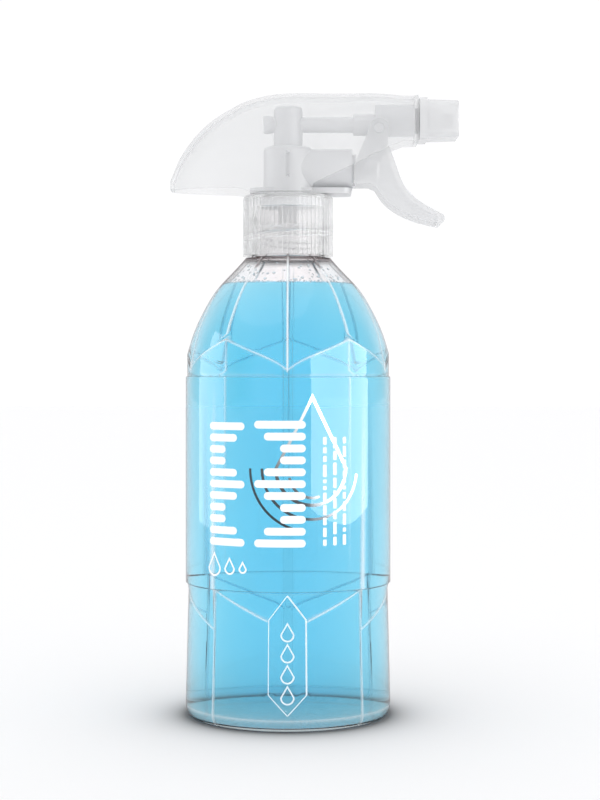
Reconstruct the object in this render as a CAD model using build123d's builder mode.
"""Clear trigger spray bottle for a car-care lubricant, as separate moulded pieces.

Millimetres, +Z up. The origin is the middle of the bottle's foot, on the neck's axis.
The nozzle points along +X, and the bottle's printed front faces -Y.
"""

import os
from math import atan2, cos, hypot, radians, sin, sqrt

from build123d import *

os.makedirs("parts", exist_ok=True)

# ---------------------------------------------------------------- driving dimensions
# bottle
bottle_r = 35.2  # label panel, outside
bottle_wall = 1.1
foot_chamfer_w = 2.2  # foot's edge to the label panel's radius
foot_chamfer_h = 4.0
band_h = 45.5  # foot to the lower edge of the label panel
band_recess = 0.6  # how far the lower band draws in under the label panel
label_h = 70.5
shoulder_step = 0.5
shoulder_h = 40.5
shoulder_sides = 10
ridge_overhang = 3.0  # virtual ridge radius beyond the panel at the shoulder's start
low_ridge_share = 0.916  # low ridges beside the high ones, at the shoulder's start
side_bulge = 1.0  # how far a facet bows out at the shoulder's start
neck_step = 2.45  # shoulder's top to the neck's radius
neck_h = 17.5
neck_r = 12.55  # 28 mm neck, below the thread
neck_wall = 1.65
fill_above_shoulder = 31.4  # liquid level above the shoulder's start
base_groove_in = 9.0  # groove's middle, in from the foot's edge
base_groove_w = 4.0
base_groove_depth = 0.5
badge_w = 12.2  # six-sided panel low on the front
badge_bottom = 6.0
badge_top = 44.2
badge_point = 7.0
badge_depth = 0.6

# 28 mm right-hand thread
thread_pitch = 4.23
thread_turns = 1.5
thread_depth = 1.15
thread_root_w = 2.2
thread_crest_w = 1.0
thread_sink = 0.25  # how far a thread is rooted in its wall
thread_below_rim = 11.0  # start of the helix below the rim
thread_gap = 0.3  # crest to root, and flank to flank

# closure collar
collar_h = 20.9
collar_lip = 1.5
collar_wall = 1.5
collar_ribs = 60
rib_groove_r = 0.45
collar_fillet = 1.5

# seal, retainer and dip tube
gasket_t = 1.0
gasket_inside = 1.1  # how far the gasket reaches in past the neck's bore
flange_t = 1.6
tube_r = 2.0
tube_wall = 0.6
tube_foot_gap = 2.6  # tube end above the floor of the bottle
tube_foot_cut = 1.0  # how far the slanted end reaches below the tube's foot
socket_wall = 1.4
socket_depth = 7.0
socket_end = 0.5  # shoulder that the tube stops at
retainer_spigot_r = 4.6
retainer_spigot_h = 4.4
vent_r = 0.8

# pump body
stem_r = 8.5
stem_h = 18.2
stem_fillet = 1.5
upper_stem_r = 5.0
upper_stem_up = 28.4  # its top above the head's underside
stem_bore_r = 3.2
joint = 1.0  # how far joined solids run into each other
base_plate_t = 1.9
base_plate_rear = 4.5  # behind the stem
base_plate_corner = 3.0
cylinder_bore_r = 6.5
cylinder_wall = 0.7
cylinder_sink = 0.6  # how far the cylinder is sunk in the base plate
cylinder_root = 1.5  # how far the bore runs back into the stem
cylinder_l = 15.0
discharge_up = 24.1  # above the head's underside, as all such heights are
discharge_r = 2.7
discharge_bore_r = 1.3
discharge_rear = 0.6  # how far the discharge tube stands out behind the upper stem
sleeve_r = 3.7
sleeve_l = 7.6
nozzle_up = 25.5
nozzle_base_r = 5.5
nozzle_base_l = 13.4
nozzle_base_back = 1.0  # behind the trigger's pivot
nozzle_spigot_r = 4.2
nozzle_spigot_l = 8.6
nozzle_bead = 0.4
nozzle_bead_w = 1.0
nozzle_bead_back = 2.0  # bead's front face to the spigot's end
spigot_bore_r = 3.0
spigot_bore_l = 14.0
port_r = 1.1

# caps that close the core holes
cap_h = 1.9
cap_plug_h = 1.4
cap_fillet = 1.4
plug_rim = 0.4
plug_l = 3.0
plug_in = 2.0
plug_fillet = 0.8

# valves
ball_r = 2.2
ball_lift = 1.5
outlet_valve_gap = 0.5  # valve to the bore round it
outlet_valve_h = 3.0
outlet_valve_chamfer = 0.5
outlet_seat_up = 11.5
outlet_port_r = 1.0

# piston and springs
piston_back = 10.0  # piston's rear face from the cylinder's floor
piston_l = 6.2
piston_land_w = 0.6
piston_wall = 1.0
piston_crown = 1.5
piston_rod_r = 3.5
piston_rod_l = 3.3
seal_w = 2.0
seal_depth = 0.8  # groove under the piston's lands
spring_wire = 0.8
spring_coils = 6
outlet_wire = 0.4
outlet_coils = 9

# trigger
pivot_ahead = 9.0  # of the cylinder's mouth
pivot_up = 22.0
pivot_r = 1.6
cheek_gap = 0.35  # cheek to the cylinder it slides past
cheek_t = 1.25
trigger_web = 1.5
push_web_h = 7.5
eye_r = 3.3
nose_r = 1.8
nose_half_w = 2.5

# shroud
shroud_wall = 1.1
shroud_side_room = 5.1  # trigger to the shroud's side at its widest
shroud_front_in = 0.2  # how far the front stands in from the trigger's width
shroud_rear_l = 45.0  # rear of the plan's round end, behind the taper
shroud_taper_x = 3.0
shroud_up = 34.1
rib_t = 1.2
rib_h = 8.0

# nozzle
nozzle_flange_t = 2.7
nozzle_flange_rim = 0.15  # flange beyond the shroud's front
nozzle_flange_h = 14.4
nozzle_body_in = 0.85  # body's side in from the flange's
nozzle_body_top_in = 0.6
nozzle_draft = 0.3
nozzle_corner = 2.2
nozzle_l = 13.4
nozzle_recess = 1.7
nozzle_recess_r = 4.6
nozzle_edge = 0.5
insert_r = 2.5
orifice_r = 0.35
seal_ring_t = 1.0
spinner_gap = 1.5  # behind the spinner
spinner_flute_r = 0.8

# clearances
run_gap = 0.1  # piston seal, nozzle on its spigot
pin_gap = 0.05  # trigger eye on its trunnion
bond_gap = 0.02  # seal in its groove
open_gap = 0.3  # moving faces that never touch
liquid_gap = 0.05  # liquid off its walls
seat_gap = 0.05  # ball and valve over their seats

# ---------------------------------------------------------------- derived places
foot_r = bottle_r - foot_chamfer_w
shoulder_z = band_h + label_h
shoulder_r = bottle_r - shoulder_step
neck_base_r = neck_r + neck_step
neck_bore_r = neck_r - neck_wall
neck_base_z = shoulder_z + shoulder_h
rim_z = neck_base_z + neck_h
fill_z = shoulder_z + fill_above_shoulder
flange_r = neck_r - open_gap
flange_z = rim_z + gasket_t
flange_top_z = flange_z + flange_t
collar_top_z = flange_top_z + run_gap + collar_lip
collar_low_z = collar_top_z - collar_h
collar_bore_r = neck_r + thread_depth + thread_gap
collar_r = collar_bore_r + collar_wall
lip_hole_r = stem_r + open_gap
tube_bore_r = tube_r - tube_wall
socket_r = tube_r + socket_wall

head_z = collar_top_z + open_gap  # underside of the sprayer's head
stem_top_z = flange_top_z + stem_h
upper_stem_top = head_z + upper_stem_up
spigot_top_z = flange_top_z + retainer_spigot_h
ball_z = spigot_top_z + sqrt(ball_r**2 - tube_bore_r**2) + seat_gap
ball_top_z = ball_z + ball_r + ball_lift + open_gap
outlet_seat_z = head_z + outlet_seat_up
discharge_z = head_z + discharge_up
nozzle_z = head_z + nozzle_up
pivot_z = head_z + pivot_up

cylinder_r = cylinder_bore_r + cylinder_wall
cylinder_z = head_z + base_plate_t + cylinder_r - cylinder_sink
cylinder_x = stem_r - cylinder_root
cylinder_mouth_x = cylinder_x + cylinder_l
base_plate_x = (-stem_r - base_plate_rear, cylinder_mouth_x - open_gap)
pivot_x = cylinder_mouth_x + pivot_ahead
nozzle_base_x = pivot_x - nozzle_base_back
nozzle_base_end_x = nozzle_base_x + nozzle_base_l
nozzle_spigot_x = nozzle_base_end_x + nozzle_spigot_l
spigot_bore_x = nozzle_spigot_x - spigot_bore_l
bead_x = nozzle_spigot_x - nozzle_bead_back - nozzle_bead_w
rear_x = -upper_stem_r - discharge_rear

piston_x = cylinder_x + piston_back
piston_shoulder_x = piston_x + piston_l
piston_rod_x = piston_shoulder_x + piston_rod_l
spring_seat_x = piston_shoulder_x - piston_crown
piston_land_r = cylinder_bore_r - open_gap
piston_skirt_r = piston_land_r - seal_depth
piston_cavity_r = piston_skirt_r - piston_wall
seal_x = piston_x + piston_land_w

cheek_in = cylinder_r + cheek_gap
trigger_w = 2 * (cheek_in + cheek_t)
shroud_half_w = trigger_w / 2 + shroud_wall + shroud_side_room
shroud_front_half_w = trigger_w / 2 - shroud_front_in
shroud_front_x = nozzle_base_end_x + shroud_wall + run_gap
shroud_top_z = head_z + shroud_up
nozzle_x = shroud_front_x + open_gap
nozzle_end_x = nozzle_x + nozzle_l
nozzle_wall_x = nozzle_spigot_x + seal_ring_t
nozzle_face_x = nozzle_end_x - nozzle_recess

bottom_mid = (Align.CENTER, Align.CENTER, Align.MIN)


def shoulder_form(inset):
    """Faceted shoulder: ten bowed sides between high and low ridges, cut by the round panel."""
    stations = ((0.0, 1.0), (0.32, 0.84), (0.51, 0.69), (0.73, 0.45), (0.925, 0.12), (1.0, 0.0))
    with BuildPart() as form:
        for rise, share in stations:
            high = neck_base_r - inset + (bottle_r + ridge_overhang - neck_base_r) * share
            low = high * (low_ridge_share + (1 - low_ridge_share) * rise)
            bulge = side_bulge * (1 - 0.6 * rise)
            ridges = []
            for i in range(shoulder_sides):
                turn = radians(360 * i / shoulder_sides - 90)
                r = low if i % 2 == 0 else high
                ridges.append(Vector(r * cos(turn), r * sin(turn)))
            with BuildSketch(Plane.XY.offset(shoulder_z + (shoulder_h - inset) * rise)):
                with BuildLine():
                    for a, b in zip(ridges, ridges[1:] + ridges[:1]):
                        middle = (a + b) * 0.5
                        ThreePointArc(a, middle + middle.normalized() * bulge, b)
                make_face()
        loft()
        with Locations((0, 0, shoulder_z)):
            Cylinder(shoulder_r - inset, shoulder_h, align=bottom_mid, mode=Mode.INTERSECT)
    return form.part


def body_form(inset):
    """Round lower body up to the shoulder, drawn in a little below the label panel."""
    r = bottle_r - inset
    band_r = r - band_recess
    with BuildPart() as form:
        with BuildSketch(Plane.XZ):
            with BuildLine():
                Polyline(
                    (0, inset),
                    (foot_r - inset / 2, inset),
                    (r, foot_chamfer_h + inset / 2),
                    (band_r, band_h - band_recess),
                    (r, band_h),
                    (r, shoulder_z),
                    (0, shoulder_z),
                    close=True,
                )
            make_face()
        revolve(axis=Axis.Z)
    return form.part


def helix_thread(root_r, depth, z, height, inwards):
    """Trapezoid thread on a helix about Z, rooted a little inside its wall."""
    side = -1 if inwards else 1
    slope = (thread_root_w - thread_crest_w) / 2 / depth
    with BuildPart() as thread:
        with BuildLine() as path:
            Helix(thread_pitch, height, root_r, center=(0, 0, z))
        start = path.line @ 0
        with BuildSketch(Plane(origin=start, x_dir=(side, 0, 0), z_dir=path.line % 0)):
            with BuildLine():
                Polyline(
                    (-thread_sink, thread_root_w / 2 + thread_sink * slope),
                    (depth, thread_crest_w / 2),
                    (depth, -thread_crest_w / 2),
                    (-thread_sink, -thread_root_w / 2 - thread_sink * slope),
                    close=True,
                )
            make_face()
        sweep(path=path.line, is_frenet=True)
    return thread.part


def coil_spring(start, direction, length, coil_r, wire, coils):
    """Round-wire compression spring from start along direction."""
    run = length - wire
    with BuildPart() as coil:
        with BuildLine() as path:
            middle = Vector(*start) + Vector(*direction) * (wire / 2)
            Helix(run / coils, run, coil_r - wire / 2, center=middle, direction=direction)
        with BuildSketch(Plane(origin=path.line @ 0, z_dir=path.line % 0)):
            Circle(wire / 2)
        sweep(path=path.line, is_frenet=True)
    return coil.part


def finish(piece, name):
    """Label a finished piece and write it."""
    piece.label = name
    export_step(piece, f"parts/{name}.step")


# ---------------------------------------------------------------- bottle
outer_shoulder = shoulder_form(0)
inner_shoulder = shoulder_form(bottle_wall)
outer_body = body_form(0)
inner_body = body_form(bottle_wall)
thread_z = rim_z - thread_below_rim
thread_run = thread_turns * thread_pitch
neck_thread = helix_thread(neck_r, thread_depth, thread_z, thread_run, inwards=False)
badge_mid_z = (badge_top + badge_bottom) / 2
badge_half_h = (badge_top - badge_bottom) / 2
badge_side_h = badge_half_h - badge_point

with BuildPart() as bottle:
    add(outer_body)
    add(outer_shoulder)
    with Locations((0, 0, neck_base_z)):
        Cylinder(neck_r, neck_h, align=bottom_mid)
    add(neck_thread)
    add(inner_body, mode=Mode.SUBTRACT)
    add(inner_shoulder, mode=Mode.SUBTRACT)
    with Locations((0, 0, neck_base_z - 2 * bottle_wall)):
        Cylinder(neck_bore_r, neck_h + 3 * bottle_wall, align=bottom_mid, mode=Mode.SUBTRACT)
    with BuildSketch(Plane.XY):
        Circle(foot_r - base_groove_in + base_groove_w / 2)
        Circle(foot_r - base_groove_in - base_groove_w / 2, mode=Mode.SUBTRACT)
    extrude(amount=base_groove_depth, mode=Mode.SUBTRACT)
    with BuildSketch(Plane.XZ.offset(bottle_r - badge_depth)):
        with BuildLine():
            Polyline(
                (0, badge_mid_z + badge_half_h),
                (badge_w / 2, badge_mid_z + badge_side_h),
                (badge_w / 2, badge_mid_z - badge_side_h),
                (0, badge_mid_z - badge_half_h),
                (-badge_w / 2, badge_mid_z - badge_side_h),
                (-badge_w / 2, badge_mid_z + badge_side_h),
                close=True,
            )
        make_face()
    extrude(amount=2 * badge_depth, mode=Mode.SUBTRACT)
finish(bottle.part, "bottle")

# ---------------------------------------------------------------- lubricant
# The liquid stands around the dip tube and inside it.
liquid_shoulder = shoulder_form(bottle_wall + liquid_gap)
liquid_body = body_form(bottle_wall + liquid_gap)
tube_foot_z = bottle_wall + tube_foot_gap
with BuildPart() as lubricant:
    add(liquid_body)
    add(liquid_shoulder)
    with Locations((0, 0, fill_z)):
        Cylinder(2 * bottle_r, shoulder_h, align=bottom_mid, mode=Mode.SUBTRACT)
    with BuildSketch(Plane.XY.offset(tube_foot_z - 2 * liquid_gap)):
        Circle(tube_r + run_gap)
        Circle(tube_bore_r - run_gap, mode=Mode.SUBTRACT)
    extrude(amount=fill_z, mode=Mode.SUBTRACT)
finish(lubricant.part, "lubricant")

# ---------------------------------------------------------------- closure collar
# Its thread sits just under the neck's, as a tightened collar's does.
flank_drop = (thread_root_w + thread_crest_w) / 2 + thread_gap
collar_thread = helix_thread(
    collar_bore_r, thread_depth, thread_z - flank_drop, thread_run - thread_pitch / 2, inwards=True
)
with BuildPart() as closure_collar:
    with Locations((0, 0, collar_low_z)):
        Cylinder(collar_r, collar_h, align=bottom_mid)
    fillet(closure_collar.edges().group_by(Axis.Z)[-1], collar_fillet)
    with BuildSketch(Plane.XY.offset(collar_low_z)):
        Circle(collar_bore_r)
    extrude(amount=collar_h - collar_lip, mode=Mode.SUBTRACT)
    with BuildSketch(Plane.XY.offset(collar_top_z)):
        Circle(lip_hole_r)
    extrude(amount=-2 * collar_lip, mode=Mode.SUBTRACT)
    with BuildSketch(Plane.XY.offset(collar_low_z)):
        with PolarLocations(collar_r + rib_groove_r / 2, collar_ribs):
            Circle(rib_groove_r)
    extrude(amount=collar_h - collar_fillet, mode=Mode.SUBTRACT)
    add(collar_thread)
finish(closure_collar.part, "closure_collar")

# ---------------------------------------------------------------- neck gasket
with BuildPart() as neck_gasket:
    with BuildSketch(Plane.XY.offset(rim_z)):
        Circle(flange_r)
        Circle(neck_bore_r - gasket_inside, mode=Mode.SUBTRACT)
    extrude(amount=gasket_t)
finish(neck_gasket.part, "neck_gasket")

# ---------------------------------------------------------------- tube retainer
# Flange under the collar's lip, socket for the dip tube, spigot with the ball's seat.
with BuildPart() as tube_retainer:
    with Locations((0, 0, flange_z)):
        Cylinder(flange_r, flange_t, align=bottom_mid)
    with Locations((0, 0, flange_z - socket_depth)):
        Cylinder(socket_r, socket_depth, align=bottom_mid)
    with Locations((0, 0, flange_top_z)):
        Cylinder(retainer_spigot_r, retainer_spigot_h, align=bottom_mid)
    with Locations((0, 0, flange_z - socket_depth)):
        Cylinder(tube_r, socket_depth - socket_end, align=bottom_mid, mode=Mode.SUBTRACT)
    with Locations((0, 0, flange_z - socket_depth)):
        Cylinder(tube_bore_r, 3 * socket_depth, align=bottom_mid, mode=Mode.SUBTRACT)
    with Locations((-(retainer_spigot_r + neck_bore_r) / 2, 0, flange_z)):
        Cylinder(vent_r, flange_t, align=bottom_mid, mode=Mode.SUBTRACT)
finish(tube_retainer.part, "tube_retainer")

# ---------------------------------------------------------------- dip tube
tube_top_z = flange_z - socket_end
with BuildPart() as dip_tube:
    with BuildSketch(Plane.XY.offset(tube_foot_z)):
        Circle(tube_r)
        Circle(tube_bore_r, mode=Mode.SUBTRACT)
    extrude(amount=tube_top_z - tube_foot_z)
    with BuildSketch(Plane.XZ):
        with BuildLine():
            Polyline(
                (-2 * tube_r, tube_foot_z - tube_foot_cut),
                (2 * tube_r, tube_foot_z - tube_foot_cut),
                (2 * tube_r, tube_foot_z + 2 * tube_r),
                close=True,
            )
        make_face()
    extrude(amount=2 * tube_r, both=True, mode=Mode.SUBTRACT)
finish(dip_tube.part, "dip_tube")

# ---------------------------------------------------------------- inlet ball
with BuildPart() as inlet_ball:
    with Locations((0, 0, ball_z)):
        Sphere(ball_r)
finish(inlet_ball.part, "inlet_ball")

# ---------------------------------------------------------------- pump body
stem_spigot_r = retainer_spigot_r + pin_gap
with BuildPart() as pump_body:
    with Locations((0, 0, flange_top_z)):
        Cylinder(stem_r, stem_h, align=bottom_mid)
    fillet(pump_body.edges().group_by(Axis.Z)[-1], stem_fillet)
    with Locations((0, 0, stem_top_z - 2 * joint)):
        Cylinder(upper_stem_r, upper_stem_top - stem_top_z + 2 * joint, align=bottom_mid)
    with BuildSketch(Plane.XY.offset(head_z)):
        with Locations(((base_plate_x[0] + base_plate_x[1]) / 2, 0)):
            RectangleRounded(base_plate_x[1] - base_plate_x[0], 2 * cylinder_r, base_plate_corner)
    extrude(amount=base_plate_t)
    with BuildSketch(Plane.YZ):
        with Locations((0, cylinder_z)):
            Circle(cylinder_r)
    extrude(amount=cylinder_mouth_x)
    with BuildSketch(Plane.YZ):
        with Locations((0, discharge_z)):
            Circle(discharge_r)
    extrude(amount=nozzle_base_x + joint)
    with BuildSketch(Plane.YZ):
        with Locations((0, discharge_z)):
            Circle(discharge_r)
    extrude(amount=rear_x)
    with BuildSketch(Plane.YZ.offset(nozzle_base_x - sleeve_l)):
        with Locations((0, discharge_z)):
            Circle(sleeve_r)
    extrude(amount=sleeve_l + joint)
    with BuildSketch(Plane.YZ.offset(nozzle_base_x)):
        with Locations((0, nozzle_z)):
            Circle(nozzle_base_r)
    extrude(amount=nozzle_base_l)
    with BuildSketch(Plane.YZ.offset(nozzle_base_end_x)):
        with Locations((0, nozzle_z)):
            Circle(nozzle_spigot_r)
    extrude(amount=nozzle_spigot_l)
    with BuildSketch(Plane.YZ.offset(bead_x)):
        with Locations((0, nozzle_z)):
            Circle(nozzle_spigot_r + nozzle_bead)
    extrude(amount=nozzle_bead_w)
    with BuildSketch(Plane.XZ):
        with Locations((pivot_x, pivot_z)):
            Circle(pivot_r)
    extrude(amount=trigger_w / 2 - pin_gap, both=True)
    # passages: retainer, ball chamber, outlet valve, pump cylinder, discharge, swirl chamber
    with Locations((0, 0, flange_top_z)):
        Cylinder(stem_spigot_r, retainer_spigot_h + pin_gap, align=bottom_mid, mode=Mode.SUBTRACT)
    with Locations((0, 0, flange_top_z)):
        Cylinder(stem_bore_r, ball_top_z - flange_top_z, align=bottom_mid, mode=Mode.SUBTRACT)
    with Locations((0, 0, flange_top_z)):
        Cylinder(outlet_port_r, stem_h, align=bottom_mid, mode=Mode.SUBTRACT)
    with Locations((0, 0, outlet_seat_z)):
        Cylinder(stem_bore_r, upper_stem_top - outlet_seat_z, align=bottom_mid, mode=Mode.SUBTRACT)
    with BuildSketch(Plane.YZ.offset(cylinder_x)):
        with Locations((0, cylinder_z)):
            Circle(cylinder_bore_r)
    extrude(amount=cylinder_l, mode=Mode.SUBTRACT)
    with BuildSketch(Plane.YZ):
        with Locations((0, ball_z + ball_r)):
            Circle(port_r)
    extrude(amount=cylinder_x + joint, mode=Mode.SUBTRACT)
    with BuildSketch(Plane.YZ.offset(rear_x)):
        with Locations((0, discharge_z)):
            Circle(discharge_bore_r)
    extrude(amount=spigot_bore_x + joint - rear_x, mode=Mode.SUBTRACT)
    with BuildSketch(Plane.YZ.offset(spigot_bore_x)):
        with Locations((0, nozzle_z)):
            Circle(spigot_bore_r)
    extrude(amount=spigot_bore_l, mode=Mode.SUBTRACT)
finish(pump_body.part, "pump_body")

# ---------------------------------------------------------------- stem cap
# Domed plug that closes the core hole over the outlet valve.
with BuildPart() as stem_cap:
    with Locations((0, 0, upper_stem_top)):
        Cylinder(upper_stem_r, cap_h, align=bottom_mid)
    fillet(stem_cap.edges().group_by(Axis.Z)[-1], cap_fillet)
    with Locations((0, 0, upper_stem_top - cap_plug_h)):
        Cylinder(stem_bore_r - pin_gap, cap_plug_h, align=bottom_mid)
finish(stem_cap.part, "stem_cap")

# ---------------------------------------------------------------- rear plug
with BuildPart() as rear_plug:
    with BuildSketch(Plane.YZ.offset(rear_x)):
        with Locations((0, discharge_z)):
            Circle(discharge_r + plug_rim)
    extrude(amount=-plug_l)
    fillet(rear_plug.edges().group_by(Axis.X)[0], plug_fillet)
    with BuildSketch(Plane.YZ.offset(rear_x)):
        with Locations((0, discharge_z)):
            Circle(discharge_bore_r - pin_gap)
    extrude(amount=plug_in)
finish(rear_plug.part, "rear_plug")

# ---------------------------------------------------------------- outlet valve and spring
outlet_valve_z = outlet_seat_z + seat_gap
outlet_valve_top = outlet_valve_z + outlet_valve_h
with BuildPart() as outlet_valve:
    with Locations((0, 0, outlet_valve_z)):
        Cylinder(stem_bore_r - outlet_valve_gap, outlet_valve_h, align=bottom_mid)
    chamfer(outlet_valve.edges().group_by(Axis.Z)[0], outlet_valve_chamfer)
finish(outlet_valve.part, "outlet_valve")

outlet_spring_l = upper_stem_top - cap_plug_h - outlet_valve_top - 2 * seat_gap
outlet_spring = coil_spring(
    (0, 0, outlet_valve_top + seat_gap),
    (0, 0, 1),
    outlet_spring_l,
    stem_bore_r - 3 * open_gap,
    outlet_wire,
    outlet_coils,
)
finish(outlet_spring, "outlet_spring")

# ---------------------------------------------------------------- piston
cylinder_axis = Axis((0, 0, cylinder_z), (1, 0, 0))
cylinder_side = Plane(origin=(0, 0, cylinder_z), x_dir=(1, 0, 0), z_dir=(0, -1, 0))
groove_end_x = seal_x + seal_w
with BuildPart() as piston:
    with BuildSketch(cylinder_side):
        with BuildLine():
            Polyline(
                (piston_x, piston_cavity_r),
                (piston_x, piston_land_r),
                (seal_x, piston_land_r),
                (seal_x, piston_skirt_r),
                (groove_end_x, piston_skirt_r),
                (groove_end_x, piston_land_r),
                (groove_end_x + piston_land_w, piston_land_r),
                (groove_end_x + piston_land_w, piston_skirt_r),
                (piston_shoulder_x, piston_skirt_r),
                (piston_shoulder_x, piston_rod_r),
                (piston_rod_x, piston_rod_r),
                (piston_rod_x, 0),
                (spring_seat_x, 0),
                (spring_seat_x, piston_cavity_r),
                close=True,
            )
        make_face()
    revolve(axis=cylinder_axis)
finish(piston.part, "piston")

with BuildPart() as piston_seal:
    with BuildSketch(Plane.YZ.offset(seal_x + pin_gap)):
        with Locations((0, cylinder_z)):
            Circle(cylinder_bore_r - run_gap)
            Circle(piston_skirt_r + bond_gap, mode=Mode.SUBTRACT)
    extrude(amount=seal_w - 2 * pin_gap)
finish(piston_seal.part, "piston_seal")

# ---------------------------------------------------------------- return spring
return_spring = coil_spring(
    (cylinder_x + pin_gap, 0, cylinder_z),
    (1, 0, 0),
    spring_seat_x - cylinder_x - 2 * pin_gap,
    piston_cavity_r - open_gap,
    spring_wire,
    spring_coils,
)
finish(return_spring, "return_spring")

# ---------------------------------------------------------------- trigger
# Channel lever: two cheeks, a curved finger web in front, a nose that pushes the piston.
# The outline's points are offsets from the pivot.
def from_pivot(*points):
    """Points given ahead of and above the pivot, in the model's frame."""
    return [(pivot_x + ahead, pivot_z + above) for ahead, above in points]


finger_line = from_pivot((3.0, -5.9), (6.0, -13.4), (9.4, -20.9), (15.0, -25.7), (21.2, -29.1))
tip = from_pivot((22.3, -30.7))[0]
back_line = from_pivot((21.0, -32.5), (11.0, -29.9), (4.2, -26.1), (-0.8, -19.9))
heel_x = cylinder_mouth_x + open_gap
heel = from_pivot((-3.0, -18.9), (heel_x - pivot_x, -18.9), (heel_x - pivot_x, -12.9))
inner_line = []
for (xa, za), (xb, zb) in zip(finger_line, finger_line[1:] + [tip]):
    slope_turn = atan2(zb - za, xb - xa)
    inner_line.append((xa + trigger_web * sin(slope_turn), za - trigger_web * cos(slope_turn)))
nose_x = piston_rod_x + run_gap + nose_r
push_web_x = nose_x + nose_r + run_gap
below_trigger_z = tip[1] - 4 * eye_r
above_trigger_z = pivot_z + 4 * eye_r
with BuildPart() as trigger:
    with BuildSketch(Plane.XZ):
        with BuildLine():
            Spline(*finger_line)
            ThreePointArc(finger_line[-1], tip, back_line[0])
            Spline(*back_line)
            Polyline(back_line[-1], *heel, (pivot_x - eye_r, pivot_z))
            ThreePointArc(
                (pivot_x - eye_r, pivot_z), (pivot_x, pivot_z + eye_r), (pivot_x + eye_r, pivot_z)
            )
            Line((pivot_x + eye_r, pivot_z), finger_line[0])
        make_face()
    extrude(amount=trigger_w / 2, both=True)
    with BuildSketch(Plane.XZ):
        with BuildLine():
            Spline(*inner_line)
            Polyline(
                inner_line[-1],
                (inner_line[-1][0], below_trigger_z),
                (cylinder_x, below_trigger_z),
                (cylinder_x, above_trigger_z),
                (pivot_x + 2 * eye_r, above_trigger_z),
                (pivot_x + 2 * eye_r, finger_line[0][1]),
                (finger_line[0][0], finger_line[0][1]),
                inner_line[0],
            )
        make_face()
    extrude(amount=cheek_in, both=True, mode=Mode.SUBTRACT)
    with BuildSketch(Plane.XZ):
        with Locations((push_web_x + trigger_web / 2, cylinder_z)):
            Rectangle(trigger_web, push_web_h)
    extrude(amount=cheek_in + cheek_t / 2, both=True)
    with BuildSketch(Plane.XZ):
        with Locations((nose_x, cylinder_z)):
            Circle(nose_r)
        with Locations(((nose_x + push_web_x) / 2, cylinder_z)):
            Rectangle(push_web_x - nose_x + 2 * run_gap, 2 * nose_r)
    extrude(amount=nose_half_w, both=True)
    with BuildSketch(Plane.XZ):
        with Locations((pivot_x, pivot_z)):
            Circle(pivot_r + pin_gap)
    extrude(amount=trigger_w, both=True, mode=Mode.SUBTRACT)
finish(trigger.part, "trigger")

# ---------------------------------------------------------------- shroud
# The top line's heights are above the head's underside.
top_line = [
    (x, head_z + up)
    for x, up in (
        (-40.3, 4.9),
        (-38.8, 8.3),
        (-36.3, 13.3),
        (-32.4, 18.6),
        (-27.4, 23.6),
        (-22.8, 26.8),
        (-17.1, 30.1),
        (-10.7, 32.4),
        (-4.2, 33.6),
    )
] + [(x, shroud_top_z) for x in (6.0, 20.0, 34.0, shroud_front_x)]


def shroud_width(x):
    """Half width: round in plan at the rear, then tapering straight to the nozzle."""
    if x < shroud_taper_x:
        return shroud_half_w * sqrt(1 - ((shroud_taper_x - x) / shroud_rear_l) ** 2.6)
    share = (x - shroud_taper_x) / (shroud_front_x - shroud_taper_x)
    return shroud_half_w + (shroud_front_half_w - shroud_half_w) * share


def shroud_form(inset):
    """Loft of arched sections along X, taken in by inset along the top line's normal."""
    floor_z = head_z - 1.0
    with BuildPart() as form:
        for i, (x, z) in enumerate(top_line):
            before = top_line[max(i - 1, 0)]
            after = top_line[min(i + 1, len(top_line) - 1)]
            run = hypot(after[0] - before[0], after[1] - before[1])
            along = ((after[0] - before[0]) / run, (after[1] - before[1]) / run)
            if i == len(top_line) - 1:
                along = (1.0, 0.0)
                x = x - inset
            px = x + inset * along[1]
            pz = z - inset * along[0]
            w = shroud_width(x) - inset
            corner = min(0.62 * w, 0.75 * (pz - floor_z))
            lean = corner * (1 - sqrt(0.5))
            with BuildSketch(Plane(origin=(px, 0, 0), x_dir=(0, 1, 0), z_dir=(1, 0, 0))):
                with BuildLine():
                    Line((-w, floor_z), (w, floor_z))
                    Line((w, floor_z), (w, pz - corner))
                    ThreePointArc((w, pz - corner), (w - lean, pz - lean), (w - corner, pz))
                    Line((w - corner, pz), (corner - w, pz))
                    ThreePointArc((corner - w, pz), (lean - w, pz - lean), (-w, pz - corner))
                    Line((-w, pz - corner), (-w, floor_z))
                make_face()
        loft()
    return form.part


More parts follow.
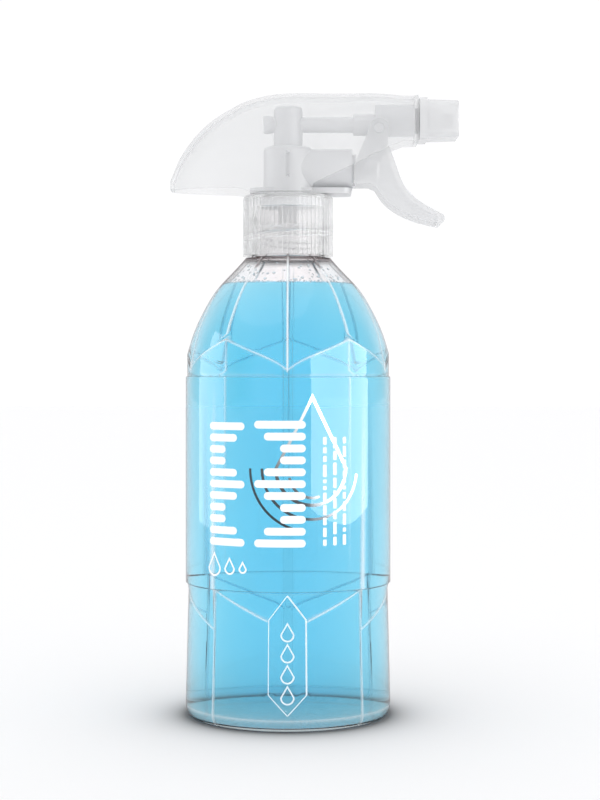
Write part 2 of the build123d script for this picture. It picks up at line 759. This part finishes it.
shroud_outer = shroud_form(0)
shroud_inner = shroud_form(shroud_wall)
beyond = 2 * shroud_rear_l
lower_line = (
    (-beyond, head_z + 1.5),
    (base_plate_x[0] - 5.7, head_z + 1.2),
    (base_plate_x[0] - 2.2, head_z + 0.8),
    (base_plate_x[0] - 0.2, head_z),
    (stem_r - 0.5, head_z),
    (stem_r + run_gap, head_z + 2.6),
    (cylinder_mouth_x, head_z + 9.2),
    (pivot_x + 3.0, head_z + 15.5),
    (pivot_x + 9.0, nozzle_z - 7.8),
    (beyond, nozzle_z - 7.6),
    (beyond, collar_low_z),
    (-beyond, collar_low_z),
)
with BuildPart() as shroud:
    add(shroud_outer)
    add(shroud_inner, mode=Mode.SUBTRACT)
    with BuildSketch(Plane.XZ):
        with BuildLine():
            Polyline(*lower_line, close=True)
        make_face()
    extrude(amount=2 * shroud_half_w, both=True, mode=Mode.SUBTRACT)
    with BuildSketch(Plane.YZ.offset(shroud_front_x - 3 * shroud_wall)):
        with Locations((0, nozzle_z)):
            Circle(nozzle_spigot_r + open_gap)
    extrude(amount=5 * shroud_wall, mode=Mode.SUBTRACT)
    # locating ribs that hold the lower stem
    rib_len = shroud_half_w - shroud_wall / 2 - stem_r
    with Locations(
        (0, stem_r + pin_gap + rib_len / 2, cylinder_z + 1.0),
        (0, -stem_r - pin_gap - rib_len / 2, cylinder_z + 1.0),
    ):
        Box(rib_t, rib_len, rib_h)
finish(shroud.part, "shroud")

# ---------------------------------------------------------------- spinner
# Fluted core that sets the spray swirling.
with BuildPart() as spinner:
    with BuildSketch(Plane.YZ.offset(spigot_bore_x + spinner_gap)):
        with Locations((0, nozzle_z)):
            Circle(spigot_bore_r - pin_gap)
            with PolarLocations(spigot_bore_r, 3):
                Circle(spinner_flute_r, mode=Mode.SUBTRACT)
    extrude(amount=spigot_bore_l - spinner_gap - socket_end)
finish(spinner.part, "spinner")

# ---------------------------------------------------------------- nozzle cap
nozzle_flange_w = 2 * (shroud_front_half_w + nozzle_flange_rim)
nozzle_body_w = nozzle_flange_w - 2 * nozzle_body_in
nozzle_body_h = nozzle_flange_h - 2 * nozzle_body_top_in
with BuildPart() as nozzle_cap:
    with BuildSketch(Plane.YZ.offset(nozzle_x)):
        with Locations((0, nozzle_z)):
            RectangleRounded(nozzle_flange_w, nozzle_flange_h, nozzle_corner + nozzle_edge)
    extrude(amount=nozzle_flange_t)
    with BuildSketch(Plane.YZ.offset(nozzle_x + nozzle_flange_t)):
        with Locations((0, nozzle_z)):
            RectangleRounded(nozzle_body_w, nozzle_body_h, nozzle_corner)
    with BuildSketch(Plane.YZ.offset(nozzle_end_x)):
        with Locations((0, nozzle_z)):
            RectangleRounded(
                nozzle_body_w - 2 * nozzle_draft, nozzle_body_h - 2 * nozzle_draft, nozzle_corner
            )
    loft()
    fillet(nozzle_cap.edges().group_by(Axis.X)[-1], nozzle_edge)
    bores = (
        (nozzle_x, nozzle_wall_x, nozzle_spigot_r + run_gap),
        (bead_x - 2 * run_gap, bead_x + nozzle_bead_w + 2 * run_gap, nozzle_spigot_r + nozzle_bead + run_gap),
        (nozzle_wall_x, nozzle_face_x, insert_r),
        (nozzle_face_x, nozzle_end_x, nozzle_recess_r),
    )
    for x_in, x_out, r in bores:
        with BuildSketch(Plane.YZ.offset(x_in)):
            with Locations((0, nozzle_z)):
                Circle(r)
        extrude(amount=x_out - x_in, mode=Mode.SUBTRACT)
finish(nozzle_cap.part, "nozzle_cap")

# ---------------------------------------------------------------- nozzle seal
with BuildPart() as nozzle_seal:
    with BuildSketch(Plane.YZ.offset(nozzle_spigot_x + pin_gap)):
        with Locations((0, nozzle_z)):
            Circle(nozzle_spigot_r)
            Circle(spigot_bore_r, mode=Mode.SUBTRACT)
    extrude(amount=nozzle_wall_x - nozzle_spigot_x - pin_gap)
finish(nozzle_seal.part, "nozzle_seal")

# ---------------------------------------------------------------- orifice insert
with BuildPart() as orifice_insert:
    with BuildSketch(Plane.YZ.offset(nozzle_wall_x)):
        with Locations((0, nozzle_z)):
            Circle(insert_r)
            Circle(orifice_r, mode=Mode.SUBTRACT)
    extrude(amount=nozzle_face_x - nozzle_wall_x)
finish(orifice_insert.part, "orifice_insert")
